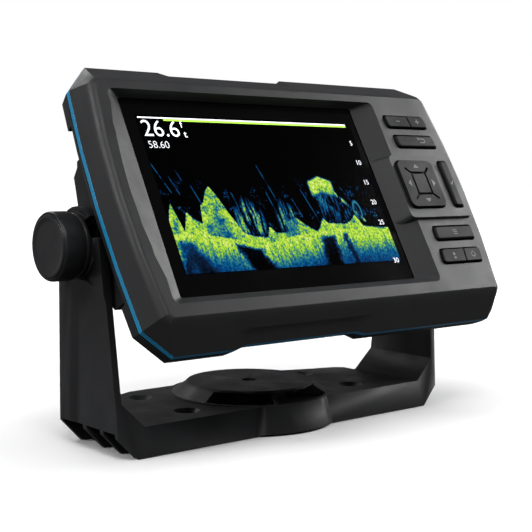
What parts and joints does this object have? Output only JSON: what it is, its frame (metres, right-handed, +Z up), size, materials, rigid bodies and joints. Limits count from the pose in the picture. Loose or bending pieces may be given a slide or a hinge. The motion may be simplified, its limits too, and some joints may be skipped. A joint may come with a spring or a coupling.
{
  "type": "chartplotter display",
  "caption": "Sunlight-view chartplotter with a chamfered bezel, side keypad and direction pad, carried between the arms of a bail bracket by two clamp knobs.",
  "frame": {"origin": "on the floor under the bracket's hub, midway between its four screw holes", "axes": "+X to the user's right, +Y away from the user, +Z up"},
  "size_m": [0.1986, 0.0953, 0.1406],
  "materials": {
    "bracket_plastic": "fine textured black glass-filled nylon",
    "bezel_plastic": "fine textured graphite plastic",
    "case_plastic": "fine textured black plastic",
    "accent_trim": "satin blue",
    "rubber": "matt black silicone",
    "window_glass": "gloss black printed glass",
    "lcd": "lit colour panel",
    "lcd_tray": "plain sheet",
    "flex": "amber polyimide",
    "board": "green solder mask",
    "steel": "stainless",
    "ceramic": "ceramic, beige",
    "inner_plastic": "moulded black",
    "socket_plastic": "moulded black",
    "key_plastic": "satin dark grey",
    "knob_plastic": "satin black",
    "brass": "machined"
  },
  "bodies": {
    "bracket": {"bail_bracket": "bracket_plastic"},
    "display_unit": {"front_bezel": "bezel_plastic", "rear_case": "case_plastic", "accent_trim": "accent_trim", "case_seal": "rubber", "window_glass": "window_glass", "window_gasket": "rubber", "lcd_panel": "lcd", "lcd_tray": "lcd_tray", "lcd_flex": "flex", "keypad_mat": "rubber", "keypad_board": "board", "main_board": "board", "shield_can": "steel", "gps_antenna": "ceramic", "buzzer": "inner_plastic", "board_link": "inner_plastic", "power_socket": "socket_plastic", "power_contacts": "inner_plastic", "transducer_socket": "socket_plastic", "transducer_contacts": "inner_plastic", "pressure_vent": "socket_plastic", "board_screw_1": "steel", "case_screw_1": "steel", "board_screw_2": "steel", "case_screw_2": "steel", "board_screw_3": "steel", "case_screw_3": "steel", "board_screw_4": "steel", "case_screw_4": "steel", "left_friction_washer": "rubber", "left_insert": "brass", "right_friction_washer": "rubber", "right_insert": "brass"},
    "zoom_out_key_body": {"zoom_out_key": "key_plastic"},
    "zoom_in_key_body": {"zoom_in_key": "key_plastic"},
    "back_key_body": {"back_key": "key_plastic"},
    "select_key_body": {"select_key": "key_plastic"},
    "menu_key_body": {"menu_key": "key_plastic"},
    "mark_key_body": {"mark_key": "key_plastic"},
    "power_key_body": {"power_key": "key_plastic"},
    "dpad_rocker": {"dpad_web": "rubber"},
    "dpad_body": {"dpad": "key_plastic"},
    "left_bush_body": {"left_bush": "inner_plastic"},
    "left_knob_body": {"left_knob": "knob_plastic", "left_stud": "steel"},
    "right_bush_body": {"right_bush": "inner_plastic"},
    "right_knob_body": {"right_knob": "knob_plastic", "right_stud": "steel"}
  },
  "joints": [
    {"name": "display_tilt", "type": "hinge", "parent": "bracket", "child": "display_unit", "pos_m": [0, -0.0085, 0.076], "axis": [-1, 0, 0], "range_deg": [-20, 30]},
    {"name": "zoom_out_key_press", "type": "slide", "parent": "display_unit", "child": "zoom_out_key_body", "axis": [0, 0.8704, -0.4924], "range_m": [0, 0.0008], "stiffness_N_per_m": 600},
    {"name": "zoom_in_key_press", "type": "slide", "parent": "display_unit", "child": "zoom_in_key_body", "axis": [0, 0.8704, -0.4924], "range_m": [0, 0.0008], "stiffness_N_per_m": 600},
    {"name": "back_key_press", "type": "slide", "parent": "display_unit", "child": "back_key_body", "axis": [0, 0.8704, -0.4924], "range_m": [0, 0.0008], "stiffness_N_per_m": 600},
    {"name": "select_key_press", "type": "slide", "parent": "display_unit", "child": "select_key_body", "axis": [0, 0.8704, -0.4924], "range_m": [0, 0.0008], "stiffness_N_per_m": 600},
    {"name": "menu_key_press", "type": "slide", "parent": "display_unit", "child": "menu_key_body", "axis": [0, 0.8704, -0.4924], "range_m": [0, 0.0008], "stiffness_N_per_m": 600},
    {"name": "mark_key_press", "type": "slide", "parent": "display_unit", "child": "mark_key_body", "axis": [0, 0.8704, -0.4924], "range_m": [0, 0.0008], "stiffness_N_per_m": 600},
    {"name": "power_key_press", "type": "slide", "parent": "display_unit", "child": "power_key_body", "axis": [0, 0.8704, -0.4924], "range_m": [0, 0.0008], "stiffness_N_per_m": 600},
    {"name": "dpad_up_down", "type": "hinge", "parent": "display_unit", "child": "dpad_rocker", "pos_m": [0.06315, -0.03289, 0.09543], "axis": [1, 0, 0], "range_deg": [-3, 3], "stiffness_Nm_per_rad": 0.4},
    {"name": "dpad_left_right", "type": "hinge", "parent": "dpad_rocker", "child": "dpad_body", "pos_m": [0.06315, -0.03289, 0.09543], "axis": [0, 0.4924, 0.8704], "range_deg": [-3, 3], "stiffness_Nm_per_rad": 0.4},
    {"name": "left_knob_travel", "type": "slide", "parent": "display_unit", "child": "left_bush_body", "axis": [-1, 0, 0], "range_m": [0, 0.0024]},
    {"name": "left_knob_turn", "type": "hinge", "parent": "left_bush_body", "child": "left_knob_body", "pos_m": [-0.093, -0.0085, 0.076], "axis": [-1, 0, 0], "range_deg": [0, 1081]},
    {"name": "right_knob_travel", "type": "slide", "parent": "display_unit", "child": "right_bush_body", "axis": [1, 0, 0], "range_m": [0, 0.0024]},
    {"name": "right_knob_turn", "type": "hinge", "parent": "right_bush_body", "child": "right_knob_body", "pos_m": [0.093, -0.0085, 0.076], "axis": [1, 0, 0], "range_deg": [0, 1081]}
  ],
  "couplings": [
    {"joint": "left_knob_turn", "follows": "left_knob_travel", "rad_per_m": 7854},
    {"joint": "right_knob_turn", "follows": "right_knob_travel", "rad_per_m": 7854}
  ]
}
